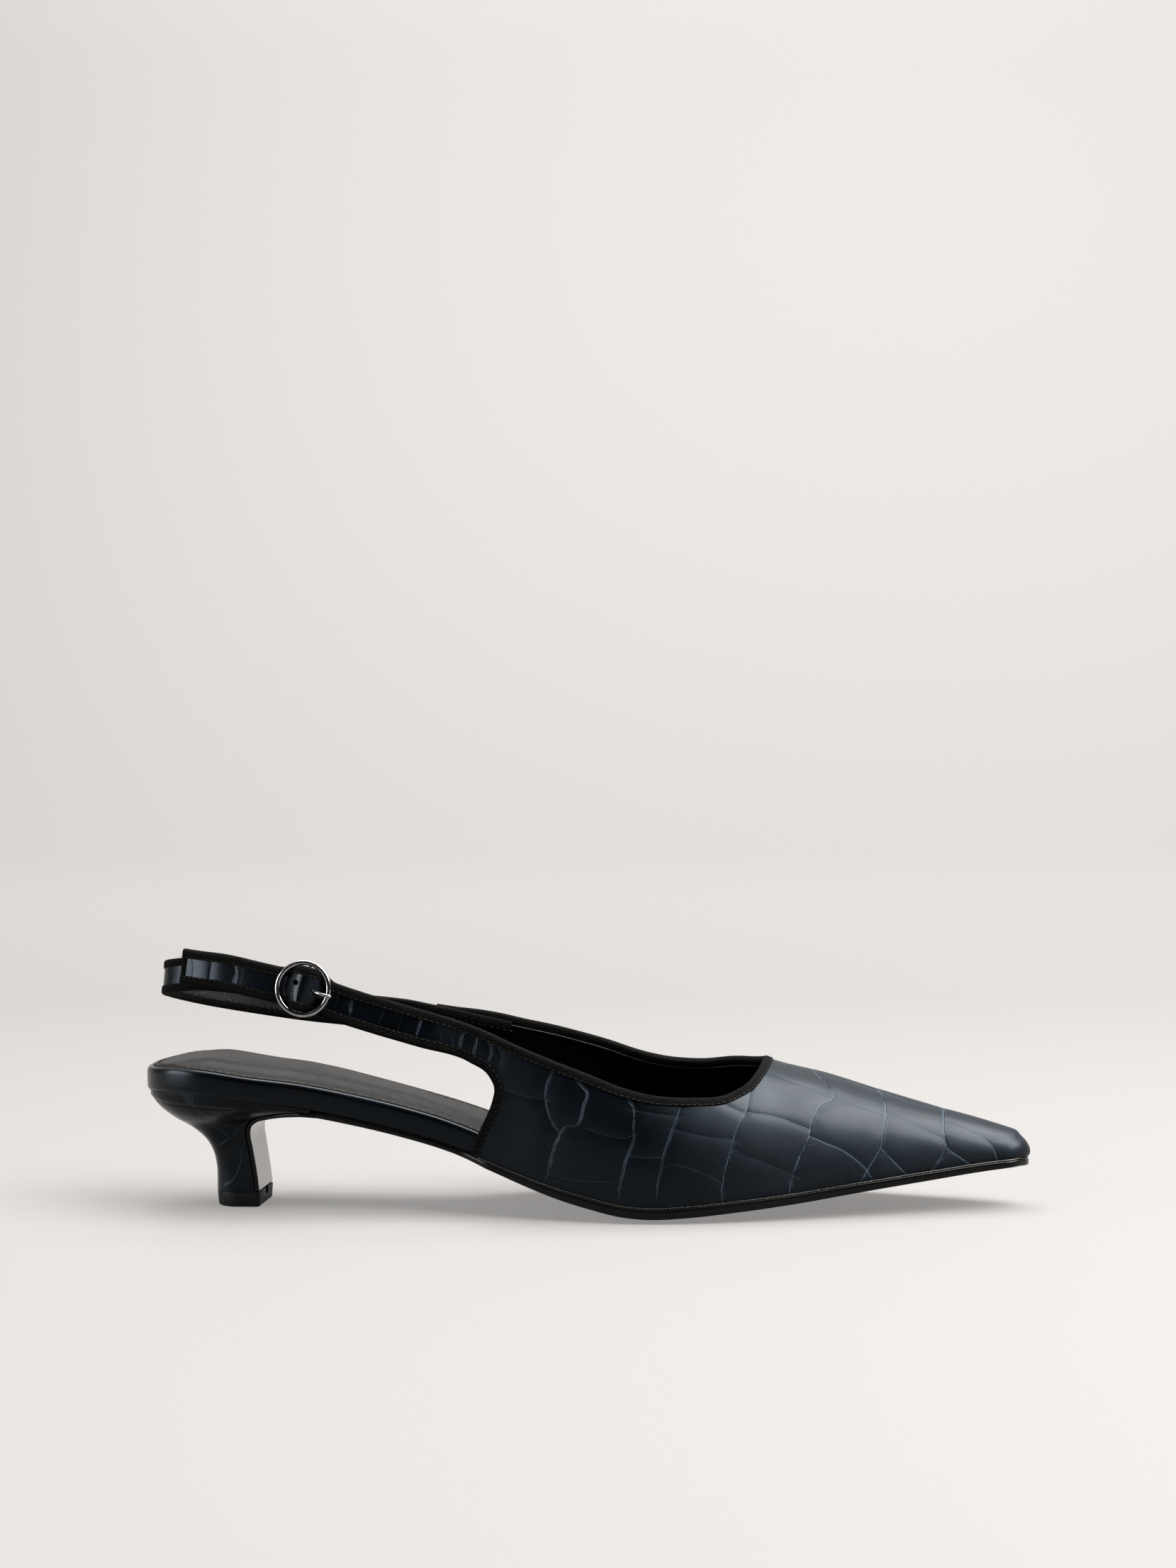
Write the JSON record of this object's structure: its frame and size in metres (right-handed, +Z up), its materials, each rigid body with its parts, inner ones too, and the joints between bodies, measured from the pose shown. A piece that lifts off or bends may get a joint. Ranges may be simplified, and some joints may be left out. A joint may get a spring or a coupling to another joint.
{
  "type": "slingback kitten heel pump",
  "caption": "Pointed slingback shoe for the right foot: croc-embossed vamp, low curved kitten heel, bound heel strap closed by a round buckle.",
  "frame": {"origin": "centre of the heel top piece's underside, on the floor", "axes": "+X to the toe, +Y to the inner (medial) side, +Z up"},
  "size_m": [0.2683, 0.0708, 0.0794],
  "materials": {
    "navy_patent_leather": "glossy, embossed with large scales",
    "black_leather": "satin",
    "black_sole": "polished edge and breast, satin underside",
    "black_rubber": "matte",
    "gunmetal": "polished dark metal"
  },
  "bodies": {
    "root": {"upper": "navy_patent_leather", "footbed": "navy_patent_leather", "heel": "navy_patent_leather", "sling_strap": "navy_patent_leather", "insole_sock": "black_leather", "outsole": "black_sole", "top_piece": "black_rubber", "buckle": "gunmetal", "prong": "gunmetal"}
  },
  "joints": []
}
